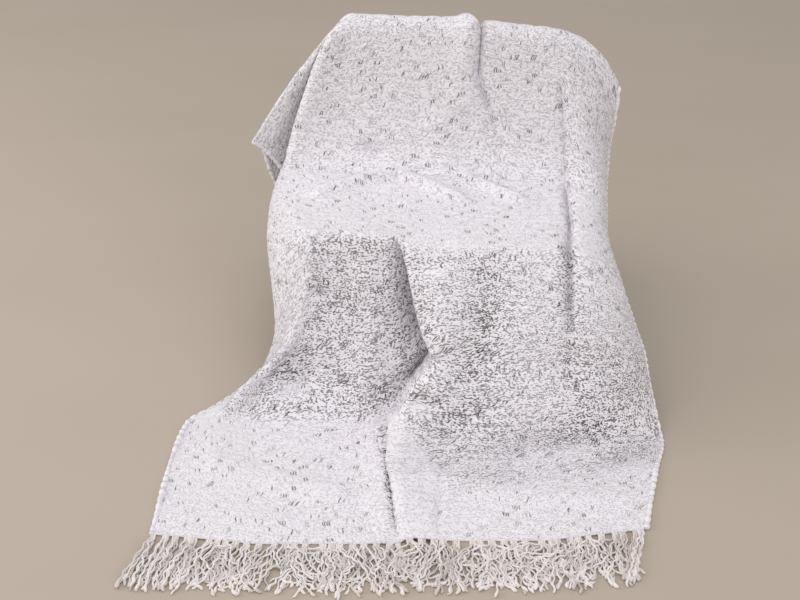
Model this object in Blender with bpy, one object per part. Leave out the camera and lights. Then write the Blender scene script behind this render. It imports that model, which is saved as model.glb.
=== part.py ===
"""A white fringed throw draped over a plain armless chair, with its front end spread on the floor.

Metres, +Z up. The origin is on the floor under the middle of the whole. The front hem is
towards -Y and +X is to the right, seen from the front.
"""
import math

import bpy
import numpy as np

# The throw as it was woven, before it was laid over the chair.
CLOTH_WIDTH = 1.27
CLOTH_LENGTH = 2.09
CLOTH_THICK = 0.006
FOLD_PLACE = 0.355            # from the cloth's middle to where its sides turn off the chair
FOLD_ROUND = 0.018            # how far each fold is rounded, across the cloth

# The fringe: strands knotted into a narrow heading, parted from the hem by a hair.
HEM_GAP = 0.0007
HEADING_WIDE = 0.010
FRINGE_LONG = 0.150
STRAND_THICK = 0.0050
STRAND_FILL = 0.60            # the most of its cell's width that a strand takes
TIP_WIDE = 0.7                # a strand's tip, as a share of its width and of its height
TIP_HIGH = 0.9
LENGTH_WAVES = ((0.09, 1.7), (0.06, 0.37))      # share of the length, radians to a strand
STRAND_SWAY = 0.0015          # bends of each strand by itself, and of many together
SWAY_WAVE = 0.9
SWAY_TWIST = 2.0
STRAND_DRIFT = 0.007
DRIFT_WAVE = 0.23
HANG_WAY = (0.0, 0.12, -1.0)  # where a hanging strand ends up, for each metre long
HEM_OPEN = 0.30               # how far the strands at the left end lean out, for each metre long
HEM_OPEN_FROM = 0.25
HEM_OPEN_OVER = 0.36
FRONT_PITCH = 0.0098
BACK_PITCH = 0.024

# The chair under it, its pieces a hair apart.
PART_GAP = 0.0003
CHAIR_MIDDLE = (0.100, 0.170)
CHAIR_TURN = math.radians(-6.0)
SEAT_WIDE = 0.620
SEAT_DEEP = 0.415
SEAT_FRONT = -0.035
SEAT_TOP = 0.445
SEAT_THICK = 0.028
LEG_THICK = 0.045
BACK_WIDE = 0.540
BACK_TOP = 0.862
BACK_LEAN = 0.045
APRON_DEEP = 0.070
BOARD_THICK = 0.020
TOP_RAIL_DEEP = 0.095
RAIL_INSET = 0.005
LEG_INSET = 0.012

# From the chair's own place to the middle of the whole on the floor.
SHIFT = (-0.030, 0.160)

# Sections across the throw, from the front hem to the end behind the chair. along is the length
# of cloth from the hem. The throw's middle part has one height and depth left of its split and
# another right of it, and turn is how much nearer it comes for each metre to the right. At the
# split the right half's lip is drawn to the left by lap, and the left half is drawn in by slot.
SECTION_COLUMNS = ("along", "left_y", "left_z", "right_y", "right_z", "turn", "split", "spread",
                   "lap", "slot")
SECTIONS = {
    "hem":        (0.000, -0.716, 0.003, -0.706, 0.003, 0.00, -0.012, 0.030, 0.000, 0.000),
    "floor":      (0.220, -0.490, 0.003, -0.500, 0.006, 0.00, -0.030, 0.030, 0.000, 0.000),
    "foot":       (0.420, -0.290, 0.006, -0.400, 0.090, 0.00, -0.034, 0.036, 0.004, 0.000),
    "ankle":      (0.520, -0.208, 0.068, -0.345, 0.165, -0.01, -0.028, 0.036, 0.010, 0.008),
    "calf":       (0.615, -0.158, 0.146, -0.288, 0.234, -0.02, 0.000, 0.036, 0.012, 0.026),
    "shin":       (0.680, -0.132, 0.205, -0.250, 0.285, -0.03, -0.016, 0.036, 0.012, 0.028),
    "knee":       (0.880, -0.066, 0.390, -0.120, 0.406, -0.08, -0.093, 0.040, 0.008, 0.016),
    "brink":      (0.935, -0.049, 0.441, -0.074, 0.447, -0.09, -0.102, 0.044, 0.004, 0.002),
    "seat_edge":  (0.965, -0.028, 0.458, -0.046, 0.456, -0.10, -0.105, 0.060, 0.000, 0.000),
    "seat":       (1.130, 0.130, 0.455, 0.120, 0.455, -0.10, 0.000, 0.400, 0.000, 0.000),
    "seat_back":  (1.290, 0.285, 0.470, 0.275, 0.470, -0.10, 0.000, 0.400, 0.000, 0.000),
    "back_low":   (1.410, 0.350, 0.560, 0.350, 0.560, -0.10, 0.100, 0.400, 0.000, 0.000),
    "back":       (1.600, 0.382, 0.748, 0.382, 0.740, -0.10, 0.200, 0.500, 0.000, 0.000),
    "back_high":  (1.740, 0.398, 0.878, 0.398, 0.856, -0.10, 0.200, 0.500, 0.000, 0.000),
    "top":        (1.790, 0.430, 0.908, 0.430, 0.884, -0.10, 0.200, 0.500, 0.000, 0.000),
    "over":       (1.840, 0.486, 0.884, 0.486, 0.864, -0.10, 0.200, 0.500, 0.000, 0.000),
    "behind":     (1.940, 0.508, 0.798, 0.508, 0.780, -0.10, 0.200, 0.500, 0.000, 0.000),
    "end":        (2.090, 0.522, 0.650, 0.522, 0.640, -0.10, 0.200, 0.500, 0.000, 0.000),
}

# How wide the lip of the right half is, and the slot beside it, each to its left and right.
LIP_LEFT = 0.024
LIP_RIGHT = 0.090
SLOT_LEFT = 0.042
SLOT_RIGHT = 0.020

# How the sides hang: where each one turns off (fold), where its woven edge lies (x, y, z), and
# how far its middle stands out to the side, to the front and up from the straight line between.
EDGE_COLUMNS = ("fold", "x", "y", "z", "out", "front", "up")
LEFT_EDGE = {
    "hem":        (-0.355, -0.614, -0.684, 0.003, 0.000, 0.000, 0.000),
    "floor":      (-0.375, -0.612, -0.460, 0.003, 0.000, 0.000, 0.000),
    "foot":       (-0.415, -0.592, -0.270, 0.003, 0.000, 0.000, 0.002),
    "ankle":      (-0.385, -0.515, -0.190, 0.006, 0.000, 0.005, 0.015),
    "calf":       (-0.343, -0.446, -0.132, 0.017, 0.007, 0.014, 0.021),
    "shin":       (-0.310, -0.405, -0.100, 0.030, 0.012, 0.020, 0.025),
    "knee":       (-0.238, -0.362, -0.020, 0.095, 0.022, 0.030, 0.035),
    "brink":      (-0.254, -0.354, 0.024, 0.132, 0.037, 0.023, 0.053),
    "seat_edge":  (-0.264, -0.350, 0.044, 0.147, 0.042, 0.020, 0.060),
    "seat":       (-0.310, -0.360, 0.150, 0.190, 0.045, 0.000, 0.060),
    "seat_back":  (-0.338, -0.362, 0.320, 0.205, 0.030, 0.000, 0.050),
    "back_low":   (-0.318, -0.340, 0.440, 0.265, 0.010, -0.025, 0.020),
    "back":       (-0.252, -0.368, 0.490, 0.380, 0.000, -0.020, 0.020),
    "back_high":  (-0.186, -0.424, 0.446, 0.490, 0.004, -0.008, 0.006),
    "top":        (-0.150, -0.452, 0.440, 0.510, 0.008, 0.000, 0.012),
    "over":       (-0.158, -0.436, 0.485, 0.490, 0.006, 0.000, 0.008),
    "behind":     (-0.200, -0.415, 0.530, 0.370, 0.006, 0.000, 0.004),
    "end":        (-0.235, -0.385, 0.550, 0.265, 0.006, 0.000, 0.000),
}
RIGHT_EDGE = {
    "hem":        (0.352, 0.612, -0.667, 0.003, 0.000, 0.000, 0.000),
    "floor":      (0.380, 0.672, -0.470, 0.003, 0.000, 0.000, 0.000),
    "foot":       (0.480, 0.710, -0.335, 0.006, 0.000, 0.015, 0.012),
    "ankle":      (0.490, 0.692, -0.240, 0.085, 0.010, 0.025, 0.020),
    "calf":       (0.486, 0.680, -0.186, 0.133, 0.016, 0.034, 0.023),
    "shin":       (0.482, 0.672, -0.150, 0.165, 0.020, 0.040, 0.025),
    "knee":       (0.466, 0.640, -0.045, 0.245, 0.025, 0.060, 0.035),
    "brink":      (0.462, 0.627, -0.006, 0.276, 0.025, 0.060, 0.038),
    "seat_edge":  (0.460, 0.621, 0.013, 0.291, 0.025, 0.060, 0.040),
    "seat":       (0.472, 0.598, 0.115, 0.335, 0.025, 0.050, 0.045),
    "seat_back":  (0.480, 0.604, 0.205, 0.375, 0.025, 0.050, 0.040),
    "back_low":   (0.478, 0.612, 0.290, 0.420, 0.020, 0.050, 0.035),
    "back":       (0.458, 0.622, 0.362, 0.530, 0.015, 0.045, 0.035),
    "back_high":  (0.435, 0.634, 0.392, 0.620, 0.018, 0.020, 0.038),
    "top":        (0.420, 0.640, 0.412, 0.700, 0.018, 0.000, 0.042),
    "over":       (0.420, 0.626, 0.460, 0.680, 0.014, 0.000, 0.030),
    "behind":     (0.420, 0.612, 0.515, 0.560, 0.012, -0.010, 0.020),
    "end":        (0.410, 0.590, 0.535, 0.430, 0.010, -0.010, 0.010),
}

# Folds pressed into the hanging cloth: from one place (across, along) to another, how wide each
# flank is (left, right) and how high the crest stands, or how deep a trough lies. The columns
# are across and along at the start, across and along at the end, left, right and height.
FOLDS = {
    "hump on the floor":        (-0.002, 0.11, -0.014, 0.42, 0.022, 0.068, 0.019),
    "hump up the drop":         (0.060, 0.54, 0.010, 0.84, 0.036, 0.055, 0.018),
    "valley down the drop":     (0.150, 0.86, 0.105, 0.60, 0.045, 0.050, -0.014),
    "valley to the floor":      (0.098, 0.54, 0.080, 0.42, 0.040, 0.050, -0.014),
    "dimple over the foot":     (0.014, 0.507, 0.044, 0.500, 0.020, 0.022, -0.018),
    "right foot hollow":        (0.190, 0.33, 0.360, 0.36, 0.070, 0.070, -0.045),
    "left soft ridge":          (-0.215, 0.84, -0.125, 0.54, 0.026, 0.026, 0.016),
    "left spot":                (-0.342, 0.805, -0.326, 0.79, 0.020, 0.020, -0.014),
    "left corner crest":        (-0.368, 0.90, -0.400, 0.66, 0.034, 0.046, 0.018),
    "left foot crest":          (-0.420, 0.58, -0.470, 0.50, 0.030, 0.034, 0.018),
    "left foot hollow":         (-0.360, 0.56, -0.290, 0.55, 0.040, 0.036, -0.028),
    "top crease":               (0.126, 1.83, 0.122, 1.62, 0.022, 0.022, -0.021),
    "top crease low":           (0.128, 1.585, 0.185, 1.40, 0.020, 0.024, -0.018),
    "crest by the top crease":  (0.070, 1.88, 0.080, 1.54, 0.036, 0.028, 0.012),
    "crest over the seat":      (0.020, 1.46, 0.060, 1.30, 0.040, 0.040, 0.012),
    "back dimple":              (-0.155, 1.392, -0.120, 1.370, 0.022, 0.024, -0.012),
    "seat wrinkle left":        (-0.280, 1.18, -0.090, 1.31, 0.024, 0.024, 0.011),
    "seat wrinkle middle":      (-0.050, 1.30, 0.080, 1.20, 0.024, 0.024, 0.011),
    "seat wrinkle right":       (0.110, 1.31, 0.230, 1.21, 0.024, 0.024, 0.010),
    "right side crease high":   (0.352, 1.66, 0.355, 1.32, 0.022, 0.020, -0.018),
    "right side crease":        (0.356, 1.27, 0.346, 0.70, 0.024, 0.022, -0.030),
    "right side crease low":    (0.344, 0.66, 0.345, 0.46, 0.028, 0.026, -0.016),
    "left front fold":          (-0.342, 1.72, -0.350, 1.34, 0.018, 0.030, 0.014),
    "floor swell left":         (-0.480, 0.27, -0.160, 0.17, 0.040, 0.040, 0.010),
    "floor swell near hem":     (-0.400, 0.08, -0.120, 0.06, 0.030, 0.030, 0.006),
    "floor swell right":        (0.240, 0.16, 0.560, 0.12, 0.040, 0.040, 0.010),
}

# Low swells all over the cloth: how high, and how many radians to a metre each way.
SWELL_HIGH = 0.0022
SWELL_ACROSS = (9.0, -4.0)
SWELL_ALONG = (7.0, 11.0)

# Grid lines across the cloth and along it: from, to and how many steps.
ACROSS_STEPS = ((-0.635, -0.42, 6), (-0.42, -0.30, 5), (-0.30, -0.14, 5), (-0.14, 0.04, 15),
                (0.04, 0.16, 5), (0.16, 0.30, 4), (0.30, 0.42, 5), (0.42, 0.635, 5))
ALONG_STEPS = ((0.0, 0.36, 9), (0.36, 0.56, 6), (0.56, 0.86, 8), (0.86, 1.04, 6),
               (1.04, 1.24, 5), (1.24, 1.44, 6), (1.44, 1.70, 6), (1.70, 1.88, 7),
               (1.88, CLOTH_LENGTH, 4))


def steps(stretches):
    """The values of all the stretches in one row, each end held once."""
    runs = [np.linspace(start, stop, count, endpoint=False) for start, stop, count in stretches]
    return np.append(np.concatenate(runs), stretches[-1][1])


def column(table, columns, name):
    """One named column of a table, in the order of its rows."""
    place = columns.index(name)
    return np.array([row[place] for row in table.values()])


def flow(knots, values, at):
    """A curve through the values at the knots, cubic from one to the next. Its slope at a knot
    is the harmonic mean of the two slopes beside it, or 0 where they turn."""
    step = np.diff(knots)
    rise = np.diff(values) / step
    same = rise[:-1] * rise[1:] > 0
    total = np.where(same, rise[:-1] + rise[1:], 1.0)
    inner = np.where(same, 2.0 * rise[:-1] * rise[1:] / total, 0.0)
    slope = np.concatenate(([rise[0]], inner, [rise[-1]]))
    cell = np.clip(np.searchsorted(knots, at, side="right") - 1, 0, len(step) - 1)
    part = (at - knots[cell]) / step[cell]
    start, stop = values[cell], values[cell + 1]
    bend_in = slope[cell] * step[cell]
    bend_out = slope[cell + 1] * step[cell]
    return (start + part * bend_in
            + part ** 2 * (3.0 * (stop - start) - 2.0 * bend_in - bend_out)
            + part ** 3 * (2.0 * (start - stop) + bend_in + bend_out))


def ease(value):
    """0 below 0, 1 above 1, and 3v^2 - 2v^3 between."""
    held = np.clip(value, 0.0, 1.0)
    return held * held * (3.0 - 2.0 * held)


def middle_point(across, along):
    """The throw's middle part: straight from the left fold to the right fold, its height and
    depth eased from the left half's to the right half's at the split. The lip is a Gaussian
    about the end of that ease, drawn to the left by the lap, and the slot is one about its
    start, pressed in."""
    knots = column(SECTIONS, SECTION_COLUMNS, "along")

    def section(name):
        return flow(knots, column(SECTIONS, SECTION_COLUMNS, name), along)

    left = flow(knots, column(LEFT_EDGE, EDGE_COLUMNS, "fold"), along)
    right = flow(knots, column(RIGHT_EDGE, EDGE_COLUMNS, "fold"), along)
    share = np.clip((across + FOLD_PLACE) / (2.0 * FOLD_PLACE), 0.0, 1.0)
    x = left + share * (right - left)
    spread = section("spread")
    over = ease((across - section("split")) / spread + 0.5)
    off_split = across - section("split")
    off_slot = off_split + 0.5 * spread
    off_lip = off_split - 0.5 * spread
    slot_wide = np.where(off_slot < 0.0, SLOT_LEFT, SLOT_RIGHT)
    lip_wide = np.where(off_lip < 0.0, LIP_LEFT, LIP_RIGHT)
    x = x - section("lap") * np.exp(-(off_lip / lip_wide) ** 2)
    y = section("left_y") + over * (section("right_y") - section("left_y"))
    y = y + section("slot") * np.exp(-(off_slot / slot_wide) ** 2)
    z = section("left_z") + over * (section("right_z") - section("left_z"))
    return np.stack((x, y + section("turn") * (x - CHAIR_MIDDLE[0]), z), axis=-1)


def hanging_side(table, outward, across, along):
    """What is added beyond a fold: the straight way from the fold to the woven edge, plus a
    crown of 4t(1 - t) to the side, the front and up."""
    knots = column(SECTIONS, SECTION_COLUMNS, "along")

    def edge(name):
        return flow(knots, column(table, EDGE_COLUMNS, name), along)

    reach = (outward * across - FOLD_PLACE) / (0.5 * CLOTH_WIDTH - FOLD_PLACE)
    part = np.clip(reach, 0.0, 1.0)[..., None]
    fold = middle_point(np.full_like(across, outward * FOLD_PLACE), along)
    woven_edge = np.stack((edge("x"), edge("y"), edge("z")), axis=-1)
    crown = np.stack((outward * edge("out"), -edge("front"), edge("up")), axis=-1)
    return part * (woven_edge - fold) + 4.0 * part * (1.0 - part) * crown


def draped(across, along):
    """The smooth drape: the middle part and both sides, each point the mean of itself twice
    and its neighbours FOLD_ROUND to either side, which rounds the folds. They lie closer in
    the middle, so that the lip stays sharp."""
    total = 0.0
    reach = FOLD_ROUND * (0.5 + 0.5 * ease((np.abs(across) - 0.18) / 0.10))
    for side, weight in ((-1.0, 0.25), (0.0, 0.5), (1.0, 0.25)):
        place = np.clip(across + side * reach, -0.5 * CLOTH_WIDTH, 0.5 * CLOTH_WIDTH)
        point = (middle_point(place, along) + hanging_side(LEFT_EDGE, -1.0, place, along)
                 + hanging_side(RIGHT_EDGE, 1.0, place, along))
        total = total + weight * point
    return total


def fold_height(across, along):
    """The folds' relief: each is h exp(-(d / w)^2), where d is the distance to its line and w
    the width of the flank that the point is on, and low swells make the rest uneven."""
    height = (SWELL_HIGH * np.sin(SWELL_ACROSS[0] * across + SWELL_ALONG[0] * along)
              * np.sin(SWELL_ACROSS[1] * across + SWELL_ALONG[1] * along))
    for start_x, start_y, stop_x, stop_y, left, right, crest in FOLDS.values():
        run = np.array((stop_x - start_x, stop_y - start_y))
        length = np.hypot(*run)
        off_x, off_y = across - start_x, along - start_y
        part = np.clip((off_x * run[0] + off_y * run[1]) / length ** 2, 0.0, 1.0)
        near_x, near_y = off_x - part * run[0], off_y - part * run[1]
        width = left + (right - left) * ease(0.5 + near_x / (left + right))
        height = height + crest * np.exp(-(near_x ** 2 + near_y ** 2) / width ** 2)
    return height


def surface_normals(points):
    """Unit normals of a grid of points, facing up where the cloth lies flat."""
    normal = np.cross(np.gradient(points, axis=1), np.gradient(points, axis=0))
    return normal / np.linalg.norm(normal, axis=-1, keepdims=True)


def cloth_middle(across, along):
    """The grid of the throw's middle layer, with its folds, no lower than it can lie."""
    across_grid, along_grid = np.meshgrid(across, along)
    points = draped(across_grid, along_grid)
    points = points + fold_height(across_grid, along_grid)[..., None] * surface_normals(points)
    points[..., 2] = np.maximum(points[..., 2], 0.5 * CLOTH_THICK)
    return points


SHARP_FROM = math.radians(50.0)


def make_object(name, vertices, faces, finish):
    """One named object, shifted to the whole's origin, with its own material."""
    moved = [(x + SHIFT[0], y + SHIFT[1], z) for x, y, z in vertices]
    mesh = bpy.data.meshes.new(name)
    mesh.from_pydata(moved, [], faces)
    mesh.update()
    colour, roughness, smooth = finish
    material = bpy.data.materials.new(name + "_finish")
    material.use_nodes = True
    shader = material.node_tree.nodes["Principled BSDF"]
    shader.inputs["Base Color"].default_value = (*colour, 1.0)
    shader.inputs["Roughness"].default_value = roughness
    shader.inputs["Metallic"].default_value = 0.0
    mesh.materials.append(material)
    if smooth:
        mesh.shade_smooth()
        mesh.set_sharp_from_angle(angle=SHARP_FROM)
    bpy.context.scene.collection.objects.link(bpy.data.objects.new(name, mesh))


# Finishes: colour, roughness and whether the piece is shaded smooth.
COTTON = ((0.80, 0.78, 0.79), 0.95, True)
WOOD = ((0.30, 0.19, 0.11), 0.50, False)


def make_throw(middle):
    """The throw as a closed sheet: an upper and a lower skin, joined along all four edges."""
    half = 0.5 * CLOTH_THICK * surface_normals(middle)
    upper = middle + half
    lower = middle - half
    lower[..., 2] = np.maximum(lower[..., 2], 0.0)
    rows, columns = middle.shape[:2]
    upper_at = np.arange(rows * columns).reshape(rows, columns)
    lower_at = upper_at + rows * columns

    def halves(at):
        corners = (at[:-1, :-1], at[:-1, 1:], at[1:, 1:], at[1:, :-1])
        near = np.stack((corners[0], corners[1], corners[2]), axis=-1)
        far = np.stack((corners[0], corners[2], corners[3]), axis=-1)
        return np.concatenate((near.reshape(-1, 3), far.reshape(-1, 3)))

    ring = np.concatenate((upper_at[0, :-1], upper_at[:-1, -1], upper_at[-1, :0:-1],
                           upper_at[:0:-1, 0]))
    after = np.roll(ring, -1)
    down = rows * columns
    rim = np.stack((ring, ring + down, after + down, after), axis=-1)
    faces = halves(upper_at).tolist() + halves(lower_at)[:, ::-1].tolist() + rim.tolist()
    vertices = np.concatenate((upper.reshape(-1, 3), lower.reshape(-1, 3)))
    make_object("throw", vertices.tolist(), faces, COTTON)


def hem_frames(edge, inside, pitch):
    """Places along a hem, a strand's pitch apart and at each corner of the cloth's edge: the
    points, the way that the cloth would go on there, and the way that one face looks."""
    onward = edge - inside
    onward = onward / np.linalg.norm(onward, axis=-1, keepdims=True)
    face = np.cross(onward, np.gradient(edge, axis=0))
    face = face / np.linalg.norm(face, axis=-1, keepdims=True)
    across = steps(ACROSS_STEPS)
    counts = np.maximum(1, np.rint(np.diff(across) / pitch)).astype(int)
    places = steps(tuple(zip(across[:-1], across[1:], counts)))

    def between(values):
        return np.stack([np.interp(places, across, values[:, axis]) for axis in range(3)], axis=-1)

    return between(edge), between(onward), between(face)


def make_fringe(name, edge, inside, pitch, joints, on_floor):
    """A heading strip beside the hem with one four-sided strand drawn out of each of its
    cells. A strand narrows from the cell, sways, and lies on the floor or hangs down."""
    edge, onward, face = hem_frames(edge, inside, pitch)
    strands = len(edge) - 1
    inner = edge + HEM_GAP * onward
    outer = edge + (HEM_GAP + HEADING_WIDE) * onward
    thick = 0.5 * STRAND_THICK
    if on_floor:
        outer[:, 2] = thick
        face = np.tile((0.0, 0.0, 1.0), (strands + 1, 1))
    strip = np.concatenate((inner + thick * face, inner - thick * face,
                            outer + thick * face, outer - thick * face))
    vertices = strip.tolist()
    count = strands + 1
    faces = []
    for cell in range(strands):
        top_in, low_in = cell, count + cell
        top_out, low_out = 2 * count + cell, 3 * count + cell
        faces.append((top_in, top_out, top_out + 1, top_in + 1))
        faces.append((low_in, low_in + 1, low_out + 1, low_out))
        faces.append((top_in, top_in + 1, low_in + 1, low_in))
        ring = (top_out, low_out, low_out + 1, top_out + 1)
        root = 0.5 * (outer[cell] + outer[cell + 1])
        way = 0.5 * (onward[cell] + onward[cell + 1])
        if on_floor:
            open_out = HEM_OPEN * ease((-root[0] - HEM_OPEN_FROM) / HEM_OPEN_OVER)
            way = np.array((-open_out, -1.0, 0.0)) / math.hypot(1.0, open_out)
        side = outer[cell + 1] - outer[cell]
        cell_wide = np.linalg.norm(side)
        side = side / cell_wide
        up = face[cell]
        length = FRINGE_LONG * (1.0 + sum(share * math.sin(wave * cell)
                                          for share, wave in LENGTH_WAVES))
        for joint in range(1, joints + 1):
            part = joint / joints
            sway = STRAND_SWAY * math.sin(SWAY_WAVE * cell + SWAY_TWIST * part) * part
            drift = STRAND_DRIFT * math.sin(DRIFT_WAVE * cell) * part ** 2
            point = root + length * part * way + (sway + drift) * side
            if not on_floor:
                hang = root + length * part * np.array(HANG_WAY) + (sway + drift) * side
                point = hang + (1.0 - part) ** 2 * (root + length * part * way - hang)
            wide = 0.5 * min(STRAND_THICK, STRAND_FILL * cell_wide)
            high = thick
            if joint == joints:
                wide = wide * TIP_WIDE
                high = high * TIP_HIGH
            if on_floor:
                point[2] = high
            corners = (point - wide * side + high * up, point - wide * side - high * up,
                       point + wide * side - high * up, point + wide * side + high * up)
            first = len(vertices)
            vertices.extend(corner.tolist() for corner in corners)
            new_ring = (first, first + 1, first + 2, first + 3)
            for edge_a in range(4):
                edge_b = (edge_a + 1) % 4
                faces.append((ring[edge_a], ring[edge_b], new_ring[edge_b], new_ring[edge_a]))
            ring = new_ring
        faces.append(ring)
    faces.append((0, count, 3 * count, 2 * count))
    last = strands
    faces.append((last, 2 * count + last, 3 * count + last, count + last))
    make_object(name, vertices, faces, COTTON)


def make_bar(name, outline, left, right):
    """A chair piece: an outline in depth and height, drawn out from left to right, and turned
    with the chair about its middle."""
    corners = [(left, y, z) for y, z in outline] + [(right, y, z) for y, z in outline]
    turned = []
    for x, y, z in corners:
        off_x, off_y = x, y - CHAIR_MIDDLE[1]
        turned.append((CHAIR_MIDDLE[0] + off_x * math.cos(CHAIR_TURN) - off_y * math.sin(CHAIR_TURN),
                       CHAIR_MIDDLE[1] + off_x * math.sin(CHAIR_TURN) + off_y * math.cos(CHAIR_TURN),
                       z))
    count = len(outline)
    faces = [tuple(range(count)), tuple(range(2 * count - 1, count - 1, -1))]
    for first in range(count):
        second = (first + 1) % count
        faces.append((first, first + count, second + count, second))
    make_object(name, turned, faces, WOOD)


def box_outline(front, rear, low, high):
    """A rectangle in depth and height."""
    return ((front, low), (front, high), (rear, high), (rear, low))


def lean(height):
    """How far back the chair's back stands at a height: 0 up to the seat, then straight."""
    return BACK_LEAN * max(0.0, height - SEAT_TOP) / (BACK_TOP - SEAT_TOP)


def leaning_outline(front, rear, low, high):
    """A board of the chair's back, between two heights above the seat."""
    return ((front + lean(low), low), (front + lean(high), high),
            (rear + lean(high), high), (rear + lean(low), low))


def make_chair():
    """A plain wooden chair: a seat board on aprons and two front legs, and two back posts
    that carry on up to hold a top rail and a back board."""
    half_seat = 0.5 * SEAT_WIDE
    half_back = 0.5 * BACK_WIDE
    seat_rear = SEAT_FRONT + SEAT_DEEP
    under = SEAT_TOP - SEAT_THICK
    make_bar("chair_seat", box_outline(SEAT_FRONT, seat_rear, under, SEAT_TOP),
             -half_seat, half_seat)
    leg_top = under - PART_GAP
    leg_front = SEAT_FRONT + LEG_INSET
    post_front = seat_rear + PART_GAP
    post_rear = post_front + LEG_THICK
    for side, sign in (("left", -1.0), ("right", 1.0)):
        outer = sign * half_back
        inner = sign * (half_back - LEG_THICK)
        low, high = min(outer, inner), max(outer, inner)
        make_bar("chair_front_leg_" + side,
                 box_outline(leg_front, leg_front + LEG_THICK, 0.0, leg_top), low, high)
        post = ((post_front, 0.0), (post_front, SEAT_TOP), (post_front + BACK_LEAN, BACK_TOP),
                (post_rear + BACK_LEAN, BACK_TOP), (post_rear, SEAT_TOP), (post_rear, 0.0))
        make_bar("chair_back_post_" + side, post, low, high)
        middle = sign * (half_back - 0.5 * LEG_THICK)
        make_bar("chair_side_apron_" + side,
                 box_outline(leg_front + LEG_THICK + PART_GAP, post_front - PART_GAP,
                             leg_top - APRON_DEEP, leg_top),
                 middle - 0.5 * BOARD_THICK, middle + 0.5 * BOARD_THICK)
    between = half_back - LEG_THICK - PART_GAP
    apron_front = leg_front + 0.5 * (LEG_THICK - BOARD_THICK)
    make_bar("chair_front_apron",
             box_outline(apron_front, apron_front + BOARD_THICK, leg_top - APRON_DEEP, leg_top),
             -between, between)
    inset = 0.5 * (LEG_THICK - BOARD_THICK)
    make_bar("chair_rear_apron",
             box_outline(post_front + inset, post_rear - inset, leg_top - APRON_DEEP, SEAT_TOP),
             -between, between)
    rail_low = BACK_TOP - TOP_RAIL_DEEP
    make_bar("chair_top_rail",
             leaning_outline(post_front + RAIL_INSET, post_rear - RAIL_INSET, rail_low,
                             BACK_TOP - RAIL_INSET),
             -between, between)
    make_bar("chair_back_board",
             leaning_outline(post_front + inset, post_rear - inset, SEAT_TOP + PART_GAP,
                             rail_low - PART_GAP),
             -between, between)


for old in list(bpy.data.objects):
    bpy.data.objects.remove(old, do_unlink=True)
cloth = cloth_middle(steps(ACROSS_STEPS), steps(ALONG_STEPS))
make_throw(cloth)
make_fringe("front_fringe", cloth[0], cloth[1], FRONT_PITCH, 3, True)
make_fringe("back_fringe", cloth[-1], cloth[-2], BACK_PITCH, 2, False)
make_chair()
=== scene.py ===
"""A white cotton throw with knotted fringes, draped over a plain wooden chair.

The drape is made as the part's own solids are, from sections, woven edges and folds, on a finer
grid and with more creases. Metres, +Z up, the front hem towards -Y.
"""
import math

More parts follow.
